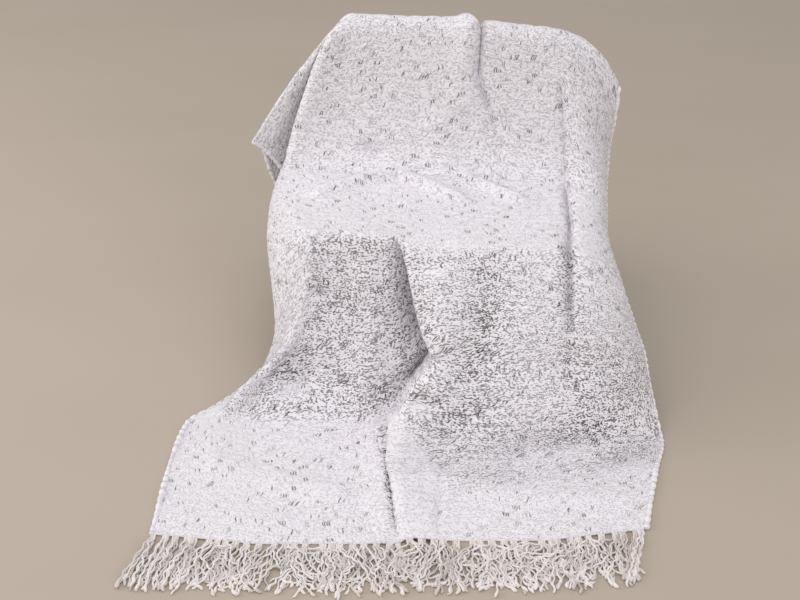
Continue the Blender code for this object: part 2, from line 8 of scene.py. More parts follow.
import bpy
import numpy as np
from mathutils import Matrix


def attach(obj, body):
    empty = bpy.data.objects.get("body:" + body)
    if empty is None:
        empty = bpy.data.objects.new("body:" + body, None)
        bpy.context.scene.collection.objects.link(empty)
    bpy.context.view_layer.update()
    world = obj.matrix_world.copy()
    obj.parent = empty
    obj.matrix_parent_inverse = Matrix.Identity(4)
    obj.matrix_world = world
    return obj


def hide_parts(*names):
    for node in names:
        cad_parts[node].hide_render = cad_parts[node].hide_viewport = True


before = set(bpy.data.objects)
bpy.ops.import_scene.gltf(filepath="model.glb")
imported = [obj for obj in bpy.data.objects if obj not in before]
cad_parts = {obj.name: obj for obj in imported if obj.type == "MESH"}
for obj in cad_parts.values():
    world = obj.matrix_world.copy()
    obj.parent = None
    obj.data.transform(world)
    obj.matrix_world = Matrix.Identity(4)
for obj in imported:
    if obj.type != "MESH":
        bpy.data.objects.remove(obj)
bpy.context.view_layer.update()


# The chair: a plain stained beech side chair that the throw hides almost whole. Its boards and
# posts keep the part's own meshes, and each is finished with its grain running its long way.
class Wire:
    """An output in a material's nodes. Sums of wires add Math nodes; node() adds any other."""

    def __init__(self, tree, socket=None):
        self.tree = tree
        self.socket = socket

    def node(self, kind, settings=None, inputs=None, output=0):
        """Adds a node: its settings first, then its sockets' values or wires."""
        made = self.tree.nodes.new(kind)
        for name, value in (settings or {}).items():
            setattr(made, name, value)
        for name, value in (inputs or {}).items():
            if isinstance(value, Wire):
                self.tree.links.new(value.socket, made.inputs[name])
            else:
                made.inputs[name].default_value = value
        return Wire(self.tree, made.outputs[output])

    def maths(self, operation, first, second=0.0):
        """A Math node on one or two wires or numbers."""
        return self.node("ShaderNodeMath", {"operation": operation}, {0: first, 1: second})

    def parts(self):
        """A place's three numbers, each on a wire of its own."""
        first = self.node("ShaderNodeSeparateXYZ", {}, {0: self})
        return [Wire(self.tree, output) for output in first.socket.node.outputs]

    def __add__(self, other):
        return self.maths("ADD", self, other)

    def __radd__(self, other):
        return self.maths("ADD", other, self)

    def __sub__(self, other):
        return self.maths("SUBTRACT", self, other)

    def __rsub__(self, other):
        return self.maths("SUBTRACT", other, self)

    def __mul__(self, other):
        return self.maths("MULTIPLY", self, other)

    def __rmul__(self, other):
        return self.maths("MULTIPLY", other, self)

    def sine(self):
        """The sine of a wire in radians."""
        return self.maths("SINE", self)

    def size(self):
        """A wire's size, without its sign."""
        return self.maths("ABSOLUTE", self)

    def between(self, low, high):
        """0 below low, 1 above high, and a smooth step between."""
        return self.node("ShaderNodeMapRange", {"interpolation_type": "SMOOTHSTEP"},
                         {"Value": self, "From Min": low, "From Max": high})

    def blend(self, first, second):
        """The colour first where this is 0 and second where it is 1."""
        return self.node("ShaderNodeMix", {"data_type": "RGBA"}, {0: self, 6: first, 7: second},
                         2)

    def stretched(self, scale):
        """A place, a vector, multiplied by three numbers."""
        return self.node("ShaderNodeVectorMath", {"operation": "MULTIPLY"}, {0: self, 1: scale})

    def noise(self, scale, detail=2.0):
        """Smooth noise from 0 to 1 over a place."""
        return self.node("ShaderNodeTexNoise", {}, {"Vector": self, "Scale": scale,
                                                    "Detail": detail})

    def chance(self, other):
        """A number from 0 to 1 by chance, the same wherever both numbers are."""
        pair = self.node("ShaderNodeCombineXYZ", {}, {0: self, 1: other})
        return self.node("ShaderNodeTexWhiteNoise", {"noise_dimensions": "2D"}, {"Vector": pair})

    def bump(self, depth):
        """A normal for a surface raised by this many times the depth, in metres."""
        return self.node("ShaderNodeBump", {}, {"Height": self, "Distance": depth,
                                                "Strength": 1.0})


def new_finish(name, roughness, sheen=0.0, gloss=0.5):
    """A material with the same roughness, sheen and gloss all over: itself, its shader and a
    first wire."""
    material = bpy.data.materials.new(name)
    material.use_nodes = True
    shader = material.node_tree.nodes["Principled BSDF"]
    shader.inputs["Roughness"].default_value = roughness
    shader.inputs["Sheen Weight"].default_value = sheen
    shader.inputs["Specular IOR Level"].default_value = gloss
    return material, shader, Wire(material.node_tree)


def connect(wire, shader, name):
    """Leads a wire to one of a shader's sockets."""
    wire.tree.links.new(wire.socket, shader.inputs[name])


# How often the grain's streaks and its bands change in a metre, along it and across it.
STREAKS_ALONG = 9.0
STREAKS_ACROSS = 170.0
BANDS_ALONG = 1.5
BANDS_ACROSS = 22.0
STREAK_SHARE = 0.55           # how much of the tone is streaks, the rest is bands, and from which
BEECH_TONES = (0.30, 0.70)    # tone to which it goes from dark to light
BEECH_DARK = (0.120, 0.062, 0.034, 1.0)
BEECH_LIGHT = (0.245, 0.135, 0.074, 1.0)
BEECH_ROUGH = 0.45
PORE_DEEP = 0.0004


def stained_beech(name, grain):
    """Brown beech whose grain runs along one axis: fine streaks, dark flecks and soft bands."""
    material, shader, wire = new_finish(name, BEECH_ROUGH)
    place = wire.node("ShaderNodeTexCoord", output="Object")
    streak_scale = tuple(STREAKS_ALONG if axis == grain else STREAKS_ACROSS for axis in range(3))
    band_scale = tuple(BANDS_ALONG if axis == grain else BANDS_ACROSS for axis in range(3))
    streaks = place.stretched(streak_scale).noise(1.0, 5.0)
    bands = place.stretched(band_scale).noise(1.0, 3.0)
    tone = (STREAK_SHARE * streaks + (1.0 - STREAK_SHARE) * bands).between(*BEECH_TONES)
    connect(tone.blend(BEECH_DARK, BEECH_LIGHT), shader, "Base Color")
    connect(streaks.bump(PORE_DEEP), shader, "Normal")
    return material


level_beech = stained_beech("level_beech", 0)
upright_beech = stained_beech("upright_beech", 2)
deep_beech = stained_beech("deep_beech", 1)
CHAIR_BOARDS = {
    "chair_seat": level_beech,
    "chair_front_leg_left": upright_beech,
    "chair_front_leg_right": upright_beech,
    "chair_back_post_left": upright_beech,
    "chair_back_post_right": upright_beech,
    "chair_side_apron_left": deep_beech,
    "chair_side_apron_right": deep_beech,
    "chair_front_apron": level_beech,
    "chair_rear_apron": level_beech,
    "chair_top_rail": level_beech,
    "chair_back_board": level_beech,
}
for board, beech in CHAIR_BOARDS.items():
    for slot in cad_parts[board].material_slots:
        slot.material = beech


# The throw: one cotton cloth, 1.27 m by 2.09 m and 6 mm thick, woven of thick nubbed yarn. It
# lies over the chair's back and seat, falls to the floor in front in two soft halves, the right
# one standing proud of the left, and spreads there flat to its hem.
CLOTH_WIDTH = 1.27
CLOTH_LENGTH = 2.09
CLOTH_THICK = 0.006
FOLD_PLACE = 0.355            # from the cloth's middle to where its sides turn off the chair
FOLD_ROUND = 0.018            # how far each fold is rounded, across the cloth
MIDDLE_ROUND = 0.25           # by which share of that the cloth's middle is rounded
MIDDLE_HALF = (0.18, 0.10)    # where from the middle that ends, and over how much more
CHAIR_MIDDLE_X = 0.100
SHIFT = np.array((-0.030, 0.160, 0.0))      # from the chair's place to the middle of the whole

# Sections across it, from the front hem to the end behind the chair. along is the length of
# cloth from the hem. The middle part has one height and depth left of its split and another
# right of it, and turn is how much nearer it comes for each metre to the right. At the split
# the right half's lip leans over the left half by lap, and the left half is drawn in by slot.
SECTION_COLUMNS = ("along", "left_y", "left_z", "right_y", "right_z", "turn", "split", "spread",
                   "lap", "slot")
SECTIONS = {
    "hem":        (0.000, -0.716, 0.003, -0.706, 0.003, 0.00, 0.008, 0.024, 0.006, 0.000),
    "floor":      (0.220, -0.490, 0.003, -0.500, 0.006, 0.00, -0.015, 0.026, 0.010, 0.000),
    "foot":       (0.420, -0.290, 0.006, -0.400, 0.090, 0.00, -0.028, 0.026, 0.014, 0.004),
    "ankle":      (0.520, -0.208, 0.068, -0.345, 0.165, -0.01, -0.014, 0.026, 0.024, 0.024),
    "calf":       (0.615, -0.158, 0.146, -0.288, 0.234, -0.02, 0.034, 0.026, 0.030, 0.072),
    "shin":       (0.680, -0.132, 0.205, -0.250, 0.285, -0.03, -0.021, 0.026, 0.030, 0.072),
    "knee":       (0.880, -0.066, 0.390, -0.120, 0.406, -0.08, -0.079, 0.026, 0.022, 0.040),
    "brink":      (0.935, -0.048, 0.441, -0.074, 0.447, -0.09, -0.089, 0.026, 0.010, 0.006),
    "seat_edge":  (0.965, -0.028, 0.458, -0.046, 0.456, -0.10, -0.092, 0.060, 0.000, 0.000),
    "seat":       (1.130, 0.130, 0.455, 0.120, 0.455, -0.10, 0.000, 0.400, 0.000, 0.000),
    "seat_back":  (1.290, 0.285, 0.470, 0.275, 0.470, -0.10, 0.000, 0.400, 0.000, 0.000),
    "back_low":   (1.410, 0.350, 0.560, 0.350, 0.560, -0.10, 0.100, 0.400, 0.000, 0.000),
    "back":       (1.600, 0.382, 0.748, 0.382, 0.740, -0.10, 0.200, 0.500, 0.000, 0.000),
    "back_high":  (1.740, 0.398, 0.878, 0.398, 0.856, -0.10, 0.200, 0.500, 0.000, 0.000),
    "top":        (1.790, 0.430, 0.908, 0.430, 0.884, -0.10, 0.200, 0.500, 0.000, 0.000),
    "over":       (1.840, 0.486, 0.884, 0.486, 0.864, -0.10, 0.200, 0.500, 0.000, 0.000),
    "behind":     (1.940, 0.508, 0.798, 0.508, 0.780, -0.10, 0.200, 0.500, 0.000, 0.000),
    "end":        (2.090, 0.522, 0.650, 0.522, 0.640, -0.10, 0.200, 0.500, 0.000, 0.000),
}

# How its sides hang: where each one turns off (fold), where its woven edge lies (x, y, z), and
# how far its middle stands out to the side, to the front and up from the straight line between.
EDGE_COLUMNS = ("fold", "x", "y", "z", "out", "front", "up")
LEFT_EDGE = {
    "hem":        (-0.355, -0.614, -0.684, 0.003, 0.000, 0.000, 0.000),
    "floor":      (-0.375, -0.612, -0.460, 0.003, 0.000, 0.000, 0.000),
    "foot":       (-0.415, -0.592, -0.270, 0.003, 0.000, 0.000, 0.002),
    "ankle":      (-0.385, -0.515, -0.190, 0.006, 0.000, 0.005, 0.015),
    "calf":       (-0.318, -0.446, -0.132, 0.017, 0.007, 0.014, 0.021),
    "shin":       (-0.272, -0.405, -0.100, 0.030, 0.012, 0.020, 0.025),
    "knee":       (-0.238, -0.362, -0.020, 0.095, 0.022, 0.030, 0.035),
    "brink":      (-0.254, -0.354, 0.024, 0.132, 0.037, 0.023, 0.053),
    "seat_edge":  (-0.264, -0.350, 0.044, 0.147, 0.042, 0.020, 0.060),
    "seat":       (-0.310, -0.360, 0.150, 0.190, 0.045, 0.000, 0.060),
    "seat_back":  (-0.338, -0.362, 0.320, 0.205, 0.030, 0.000, 0.050),
    "back_low":   (-0.318, -0.340, 0.440, 0.265, 0.010, -0.025, 0.020),
    "back":       (-0.252, -0.368, 0.490, 0.380, 0.000, -0.020, 0.020),
    "back_high":  (-0.186, -0.424, 0.446, 0.490, 0.004, -0.008, 0.006),
    "top":        (-0.150, -0.452, 0.440, 0.510, 0.008, 0.000, 0.012),
    "over":       (-0.158, -0.436, 0.485, 0.490, 0.006, 0.000, 0.008),
    "behind":     (-0.200, -0.415, 0.530, 0.370, 0.006, 0.000, 0.004),
    "end":        (-0.235, -0.385, 0.550, 0.265, 0.006, 0.000, 0.000),
}
RIGHT_EDGE = {
    "hem":        (0.352, 0.612, -0.667, 0.003, 0.000, 0.000, 0.000),
    "floor":      (0.380, 0.672, -0.470, 0.003, 0.000, 0.000, 0.000),
    "foot":       (0.480, 0.710, -0.335, 0.006, 0.000, 0.015, 0.012),
    "ankle":      (0.490, 0.692, -0.240, 0.085, 0.010, 0.025, 0.020),
    "calf":       (0.486, 0.680, -0.186, 0.133, 0.016, 0.034, 0.023),
    "shin":       (0.482, 0.672, -0.150, 0.165, 0.020, 0.040, 0.025),
    "knee":       (0.466, 0.640, -0.045, 0.245, 0.025, 0.060, 0.035),
    "brink":      (0.462, 0.627, -0.006, 0.276, 0.025, 0.060, 0.038),
    "seat_edge":  (0.460, 0.621, 0.013, 0.291, 0.025, 0.060, 0.040),
    "seat":       (0.472, 0.598, 0.115, 0.335, 0.025, 0.050, 0.045),
    "seat_back":  (0.480, 0.604, 0.205, 0.375, 0.025, 0.050, 0.040),
    "back_low":   (0.478, 0.612, 0.290, 0.420, 0.020, 0.050, 0.035),
    "back":       (0.458, 0.622, 0.362, 0.530, 0.015, 0.045, 0.035),
    "back_high":  (0.435, 0.634, 0.392, 0.620, 0.018, 0.020, 0.038),
    "top":        (0.420, 0.640, 0.412, 0.700, 0.018, 0.000, 0.042),
    "over":       (0.420, 0.626, 0.460, 0.680, 0.014, 0.000, 0.030),
    "behind":     (0.420, 0.612, 0.515, 0.560, 0.012, -0.010, 0.020),
    "end":        (0.410, 0.590, 0.535, 0.430, 0.010, -0.010, 0.010),
}

# Folds pressed into the hanging cloth: from one place (across, along) to another, how wide each
# flank is (left, right) and how high the crest stands, or how deep a trough lies. The columns
# are across and along at the start, across and along at the end, left, right and height.
FOLDS = {
    "hump on the floor":        (0.018, 0.055, -0.017, 0.42, 0.011, 0.075, 0.022),
    "ridge by the split":       (-0.032, 0.04, -0.064, 0.40, 0.034, 0.018, 0.014),
    "crease by the hump":       (0.096, 0.03, 0.098, 0.29, 0.008, 0.012, -0.007),
    "hump up the drop":         (0.060, 0.54, 0.010, 0.84, 0.036, 0.055, 0.018),
    "valley down the drop":     (0.150, 0.86, 0.105, 0.60, 0.045, 0.050, -0.013),
    "valley to the floor":      (0.098, 0.54, 0.080, 0.42, 0.040, 0.050, -0.012),
    "dimple over the foot":     (0.014, 0.507, 0.044, 0.500, 0.020, 0.022, -0.017),
    "right foot hollow":        (0.260, 0.36, 0.370, 0.38, 0.060, 0.070, -0.040),
    "right foot crest":         (0.110, 0.24, 0.200, 0.27, 0.050, 0.050, 0.014),
    "left soft ridge":          (-0.215, 0.84, -0.125, 0.54, 0.026, 0.026, 0.012),
    "left spot":                (-0.342, 0.805, -0.326, 0.79, 0.012, 0.014, -0.014),
    "left corner crest":        (-0.368, 0.90, -0.400, 0.66, 0.034, 0.046, 0.018),
    "left foot crest":          (-0.420, 0.58, -0.470, 0.50, 0.030, 0.034, 0.020),
    "left foot hollow":         (-0.350, 0.60, -0.290, 0.56, 0.042, 0.040, -0.040),
    "top crease":               (0.118, 1.84, 0.120, 1.612, 0.012, 0.012, -0.028),
    "top crease bend":          (0.124, 1.590, 0.148, 1.52, 0.012, 0.014, -0.024),
    "top crease low":           (0.156, 1.495, 0.190, 1.40, 0.016, 0.020, -0.014),
    "crest by the top crease":  (0.070, 1.88, 0.080, 1.54, 0.036, 0.028, 0.012),
    "crest over the seat":      (0.020, 1.46, 0.060, 1.30, 0.040, 0.040, 0.012),
    "back dimple":              (-0.165, 1.392, -0.125, 1.374, 0.015, 0.018, -0.020),
    "seat wrinkle left":        (-0.280, 1.18, -0.090, 1.31, 0.020, 0.020, 0.021),
    "seat wrinkle middle":      (-0.050, 1.30, 0.080, 1.20, 0.020, 0.020, 0.021),
    "seat wrinkle right":       (0.110, 1.31, 0.230, 1.21, 0.020, 0.020, 0.020),
    "right side crease high":   (0.353, 1.60, 0.356, 1.31, 0.012, 0.011, -0.013),
    "right side crease":        (0.356, 1.29, 0.358, 1.08, 0.012, 0.011, -0.024),
    "right side crease drop":   (0.357, 1.06, 0.330, 0.785, 0.016, 0.012, -0.034),
    "right side crease foot":   (0.328, 0.765, 0.322, 0.70, 0.014, 0.012, -0.018),
    "right side crease low":    (0.324, 0.64, 0.340, 0.46, 0.026, 0.024, -0.011),
    "left front fold":          (-0.342, 1.72, -0.350, 1.34, 0.018, 0.030, 0.014),
    "floor swell left":         (-0.480, 0.27, -0.160, 0.17, 0.040, 0.040, 0.010),
    "floor swell near hem":     (-0.400, 0.08, -0.120, 0.06, 0.030, 0.030, 0.006),
    "floor swell right":        (0.240, 0.16, 0.560, 0.12, 0.040, 0.040, 0.010),
}

# How wide the lip of the right half is, and the slot beside it, each to its left and right.
LIP_LEFT = 0.020
LIP_RIGHT = 0.090
SLOT_LEFT = 0.042
SLOT_RIGHT = 0.012

# Low swells all over the cloth: how high, and how many radians to a metre each way.
SWELL_HIGH = 0.0022
SWELL_ACROSS = (9.0, -4.0)
SWELL_ALONG = (7.0, 11.0)

# The weave: thick soft rows across the cloth, tied down by groups of thin warp threads. Each
# row's ties lie halfway between those of the next. Rows and ties wander by a share of their
# pitch: how much, and how many radians to a metre across and along.
ROWS = 85
ROW_PITCH = CLOTH_LENGTH / ROWS
TIES = 22
TIE_PITCH = CLOTH_WIDTH / TIES
TIE_WANDER = (0.12, 9.0, 41.0)
ROW_WANDER = (0.22, 23.0, 9.0)
PUFF_HIGH = 0.0020            # how far a row stands up between its ties, and the ties' width
TIE_WIDE = 0.010
TIE_DIP = 0.75
UNDER_PUFF = 0.30             # how much of the rows' relief the underside shows
PUFF_SPREAD = 0.28            # how unlike the puffs are, by the sines of these times their numbers
PUFF_BY_ROW = 37.0
PUFF_BY_TIE = 53.0

# Grid lines to each row and to each tie, and where there are twice as many, at the creases.
LINES_TO_ROW = 4
LINES_TO_TIE = 8
CREASED = ((-0.135, 0.020), (0.105, 0.200), (0.325, 0.370))


def column(rows, columns, name):
    """One named column of a table, in the order of its rows."""
    place = columns.index(name)
    return np.array([row[place] for row in rows.values()])


def flow(knots, values, at):
    """A curve through the values at the knots, cubic from one to the next. Its slope at a knot
    is the harmonic mean of the two slopes beside it, or 0 where they turn."""
    step = np.diff(knots)
    climb = np.diff(values) / step
    same = climb[:-1] * climb[1:] > 0
    total = np.where(same, climb[:-1] + climb[1:], 1.0)
    inner = np.where(same, 2.0 * climb[:-1] * climb[1:] / total, 0.0)
    slope = np.concatenate(([climb[0]], inner, [climb[-1]]))
    cell = np.clip(np.searchsorted(knots, at, side="right") - 1, 0, len(step) - 1)
    part = (at - knots[cell]) / step[cell]
    start, stop = values[cell], values[cell + 1]
    bend_in = slope[cell] * step[cell]
    bend_out = slope[cell + 1] * step[cell]
    return (start + part * bend_in
            + part ** 2 * (3.0 * (stop - start) - 2.0 * bend_in - bend_out)
            + part ** 3 * (2.0 * (start - stop) + bend_in + bend_out))


def ease(value):
    """0 below 0, 1 above 1, and 3v^2 - 2v^3 between."""
    held = np.clip(value, 0.0, 1.0)
    return held * held * (3.0 - 2.0 * held)


def rise(value, start, over):
    """0 below the start and 1 from start plus over on, eased between."""
    return ease((value - start) / over)


def middle_point(across, along):
    """The throw's middle part: straight from the left fold to the right fold, its height and
    depth eased from the left half's to the right half's at the split. The lip is a Gaussian
    about the end of that ease, drawn to the left by the lap, and the slot is one about its
    start, pressed in."""
    knots = column(SECTIONS, SECTION_COLUMNS, "along")

    def section(name):
        return flow(knots, column(SECTIONS, SECTION_COLUMNS, name), along)

    left = flow(knots, column(LEFT_EDGE, EDGE_COLUMNS, "fold"), along)
    right = flow(knots, column(RIGHT_EDGE, EDGE_COLUMNS, "fold"), along)
    share = np.clip((across + FOLD_PLACE) / (2.0 * FOLD_PLACE), 0.0, 1.0)
    x = left + share * (right - left)
    spread = section("spread")
    off_split = across - section("split")
    over = ease(off_split / spread + 0.5)
    off_slot = off_split + 0.5 * spread
    off_lip = off_split - 0.5 * spread
    slot_wide = np.where(off_slot < 0.0, SLOT_LEFT, SLOT_RIGHT)
    lip_wide = np.where(off_lip < 0.0, LIP_LEFT, LIP_RIGHT)
    x = x - section("lap") * np.exp(-(off_lip / lip_wide) ** 2)
    y = section("left_y") + over * (section("right_y") - section("left_y"))
    y = y + section("slot") * np.exp(-(off_slot / slot_wide) ** 2)
    z = section("left_z") + over * (section("right_z") - section("left_z"))
    return np.stack((x, y + section("turn") * (x - CHAIR_MIDDLE_X), z), axis=-1)


def hanging_side(edge_rows, outward, across, along):
    """What is added beyond a fold: the straight way from the fold to the woven edge, plus a
    crown of 4t(1 - t) to the side, the front and up."""
    knots = column(SECTIONS, SECTION_COLUMNS, "along")

    def edge(name):
        return flow(knots, column(edge_rows, EDGE_COLUMNS, name), along)

    reach = (outward * across - FOLD_PLACE) / (0.5 * CLOTH_WIDTH - FOLD_PLACE)
    part = np.clip(reach, 0.0, 1.0)[..., None]
    fold = middle_point(np.full_like(across, outward * FOLD_PLACE), along)
    woven_edge = np.stack((edge("x"), edge("y"), edge("z")), axis=-1)
    crown = np.stack((outward * edge("out"), -edge("front"), edge("up")), axis=-1)
    return part * (woven_edge - fold) + 4.0 * part * (1.0 - part) * crown


def draped(across, along):
    """The smooth drape: the middle part and both sides, each point the mean of itself twice
    and its neighbours FOLD_ROUND to either side, which rounds the folds. They lie closer in
    the middle, so that the lip stays sharp."""
    total = 0.0
    reach = FOLD_ROUND * (MIDDLE_ROUND + (1.0 - MIDDLE_ROUND) * rise(np.abs(across), *MIDDLE_HALF))
    for side, weight in ((-1.0, 0.25), (0.0, 0.5), (1.0, 0.25)):
        place = np.clip(across + side * reach, -0.5 * CLOTH_WIDTH, 0.5 * CLOTH_WIDTH)
        point = (middle_point(place, along) + hanging_side(LEFT_EDGE, -1.0, place, along)
                 + hanging_side(RIGHT_EDGE, 1.0, place, along))
        total = total + weight * point
    return total


def fold_height(across, along):
    """The folds' relief: each is h exp(-(d / w)^2), where d is the distance to its line and w
    the width of the flank that the point is on. Low swells make the rest uneven."""
    height = (SWELL_HIGH * np.sin(SWELL_ACROSS[0] * across + SWELL_ALONG[0] * along)
              * np.sin(SWELL_ACROSS[1] * across + SWELL_ALONG[1] * along))
    for start_x, start_y, stop_x, stop_y, left, right, crest in FOLDS.values():
        run = np.array((stop_x - start_x, stop_y - start_y))
        length = np.hypot(*run)
        off_x, off_y = across - start_x, along - start_y
        part = np.clip((off_x * run[0] + off_y * run[1]) / length ** 2, 0.0, 1.0)
        near_x, near_y = off_x - part * run[0], off_y - part * run[1]
        width = left + (right - left) * ease(0.5 + near_x / (left + right))
        height = height + crest * np.exp(-(near_x ** 2 + near_y ** 2) / width ** 2)
    return height


def weave_place(across, along):
    """Where a point is in the weave: how many ties across and rows along, with their wander."""
    share, wave_across, wave_along = TIE_WANDER
    ties = across / TIE_PITCH + share * np.sin(wave_across * across + wave_along * along)
    share, wave_across, wave_along = ROW_WANDER
    rows = along / ROW_PITCH + share * np.sin(wave_across * across + wave_along * along)
    return ties, rows


def puff_height(ties, rows):
    """The rows' relief: a crown of 1 - (2f)^2, with f from -0.5 to 0.5 across the row, that dips
    by a Gaussian at each tie. Puffs differ by the sine of their numbers."""
    row = np.floor(rows)
    off_row = rows - row - 0.5
    shifted = ties + 0.5 * np.mod(row, 2.0)
    tie = np.round(shifted)
    off_tie = (shifted - tie) * TIE_PITCH
    crown = 1.0 - (2.0 * off_row) ** 2
    dip = TIE_DIP * np.exp(-(off_tie / TIE_WIDE) ** 2)
    unlike = 1.0 + PUFF_SPREAD * np.sin(PUFF_BY_ROW * row + PUFF_BY_TIE * np.floor(shifted))
    return PUFF_HIGH * crown * (1.0 - dip) * unlike


# How far the weave is given as open, which is painted shade: the more open, the denser and
# darker its marks. 0 on a flat part and 1 on a hanging one, by the sine of its slope, and by what
# share less on the chair, at the sides and where the right half is drawn smooth. A pair says where
# something starts and over how much more it gets whole, in metres along or across, or as a sine
# for the slope.
SHADE_BY_SLOPE = (0.25, 0.55)
LESS_ON_CHAIR = 0.80
LESS_AT_SIDES = 0.62
LESS_DRAWN = 0.50
CHAIR_ALONG = (0.95, 0.08)
SIDES_ACROSS = (0.35, 0.04)
SIDES_ALONG = (0.62, 0.10)
DRAWN_MIDDLE = 0.25           # where across the drawn part is, how wide, and where it ends
DRAWN_WIDE = 0.09
DRAWN_END_ALONG = (0.90, 0.08)
FOLD_TELLS = 0.04             # how high a crest or deep a trough must be to take or add painted shade, and how far it can do so
FOLD_LIMITS = (-0.40, 0.15)   # and how far it can do so

# The groove left of the hump in front, where the painted shade is deepest, and the hump's right
# edge.
# Both are lines through three places. The hump starts and ends at so much from them.
GROOVE = {"along": (0.00, 0.22, 0.42), "across": (-0.006, -0.030, -0.068)}
GROOVE_WIDE = 0.011
GROOVE_SHADE = 1.5
GROOVE_START_ALONG = (0.02, 0.16)
GROOVE_END_ALONG = (0.35, 0.08)
HUMP_EDGE = {"along": (0.00, 0.25, 0.43), "across": (0.096, 0.096, -0.008)}
HUMP_START_ACROSS = (0.008, 0.010)
HUMP_END_ACROSS = (-0.010, 0.020)
HUMP_END_ALONG = (0.43, 0.06)

# Where the right half bends onto the floor: how far along, and how much further for each metre
# across, how wide this is, how much painted shade it gets, and where across it starts and ends.
BEND_ALONG = 0.20
BEND_SLANT = 0.20
BEND_WIDE = 0.055
BEND_SHADE = 0.45
BEND_START_ACROSS = (0.09, 0.04)
BEND_END_ACROSS = (0.20, 0.20)

# From which stretch, and over how much more, the wall between the two halves shows no ties.
STRETCHED = (1.5, 1.0)


def shade_as_open_weave(across, along, normals):
    """Painted shade, given as how far the weave is open: eased from the sine of its slope, made
    less by each of the shares above and by crests, more in troughs, the groove and the bend, and
    below 0, quite tight and without painted shade, on the hump in front."""
    steep = np.sqrt(np.clip(1.0 - normals[..., 2] ** 2, 0.0, 1.0))
    beside = rise(np.abs(across), *SIDES_ACROSS)
    on_chair = rise(along, *CHAIR_ALONG) * (1.0 - beside)
    at_sides = beside * rise(along, *SIDES_ALONG)
    drawn = (np.exp(-((across - DRAWN_MIDDLE) / DRAWN_WIDE) ** 2)
             * (1.0 - rise(along, *DRAWN_END_ALONG)))
    in_trough = 1.0 - np.clip(fold_height(across, along) / FOLD_TELLS, *FOLD_LIMITS)
    off_groove = across - np.interp(along, GROOVE["along"], GROOVE["across"])
    in_groove = (np.exp(-(off_groove / GROOVE_WIDE) ** 2) * rise(along, *GROOVE_START_ALONG)
                 * (1.0 - rise(along, *GROOVE_END_ALONG)))
    off_edge = across - np.interp(along, HUMP_EDGE["along"], HUMP_EDGE["across"])
    on_hump = (rise(off_groove, *HUMP_START_ACROSS) * (1.0 - rise(off_edge, *HUMP_END_ACROSS))
               * (1.0 - rise(along, *HUMP_END_ALONG)))
    off_bend = along - BEND_ALONG - BEND_SLANT * across
    bent = (np.exp(-(off_bend / BEND_WIDE) ** 2) * rise(across, *BEND_START_ACROSS)
            * (1.0 - rise(across, *BEND_END_ACROSS)))
    hanging = (rise(steep, *SHADE_BY_SLOPE) * (1.0 - LESS_ON_CHAIR * on_chair)
               * (1.0 - LESS_AT_SIDES * at_sides) * (1.0 - LESS_DRAWN * drawn) * in_trough)
    return hanging * (1.0 - on_hump) - on_hump + GROOVE_SHADE * in_groove + BEND_SHADE * bent


def weave_drawn(across, middle):
    """How much longer the cloth is than its grid up to each point, summed across, how far it is
    drawn out there, from 0 to 1, and 0."""
    step = np.linalg.norm(np.diff(middle, axis=1), axis=-1)
    longer = np.cumsum(np.maximum(step - np.diff(across), 0.0), axis=1)
    longer = np.concatenate((np.zeros_like(longer[:, :1]), longer), axis=1)
    stretch = np.linalg.norm(np.gradient(middle, across, axis=1), axis=-1)
    drawn_out = rise(stretch, *STRETCHED)
    return np.stack((longer, drawn_out, np.zeros_like(longer)), axis=-1)


def surface_normals(points):
    """Unit normals of a grid of points, facing up where the cloth lies flat."""
    normal = np.cross(np.gradient(points, axis=1), np.gradient(points, axis=0))
    return normal / np.linalg.norm(normal, axis=-1, keepdims=True)


def cloth_middle(across, along):
    """The grid of the throw's middle layer, with its folds, no lower than it can lie."""
    across_grid, along_grid = np.meshgrid(across, along)
    points = draped(across_grid, along_grid)
    points = points + fold_height(across_grid, along_grid)[..., None] * surface_normals(points)
    points[..., 2] = np.maximum(points[..., 2], 0.5 * CLOTH_THICK)
    return points + SHIFT


def soft_object(name, vertices, faces, material, **point_values):
    """A smooth-shaded piece from arrays, with three numbers at each point for each named value:
    woven, its place on the cloth or along the yarn and, on the cloth, its painted shade, and
    drawn, how far the cloth is drawn."""
    mesh = bpy.data.meshes.new(name)
    mesh.from_pydata(vertices, [], faces)
    mesh.update()
    mesh.shade_smooth()
    for value_name, value in point_values.items():
        values = mesh.attributes.new(value_name, "FLOAT_VECTOR", "POINT")
        values.data.foreach_set("vector", np.asarray(value, dtype=np.float32).ravel())
    mesh.materials.append(material)
    made = bpy.data.objects.new(name, mesh)
    bpy.context.scene.collection.objects.link(made)
    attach(made, "root")
    return made


# Each tie is a group of thin warp threads with slits between them, painted dark as the shade in
# them: how far apart these are, how far from the tie's middle they reach to the sides and along,
# in metres, and how wide one is, as a share of their spacing. A pair says where it starts to fade
# and where it is gone. By chance some slits and some whole ties stay closed, and so do all where
# no shade is painted: there a pair goes from closed to dark with the painted shade. Slits in a tie
# are numbered in steps of so much of a tie.
SLIT_PITCH = 0.0060
SLIT_REACH = (0.009, 0.013)
SLIT_ALONG = (0.003, 0.0085)
SLIT_WIDE = (0.14, 0.32)
SLIT_CHANCE = (0.30, 0.85)
TIE_CHANCE = (0.15, 0.75)
SLIT_BY_SHADING = (-0.8, 0.0)
SLIT_NUMBERS = 0.05

# Between the nubs are thin gaps, painted dark as the shade in them, most of them where two rows
# meet: how fast they change each way, how fine they are, from which noise to which they fade,
# how much more of them there are between rows and where more shade is painted, and how fine and
# how strong their patches are.
GAP_STRETCH = (0.70, 1.0, 0.70)
GAP_FINE = 235.0
GAP_FROM_TO = (0.35, 0.45)
GAP_BY_ROW = 0.024
GAP_BY_SHADING = 0.022
PATCH_FINE = 24.0
PATCH_STRONG = 0.16
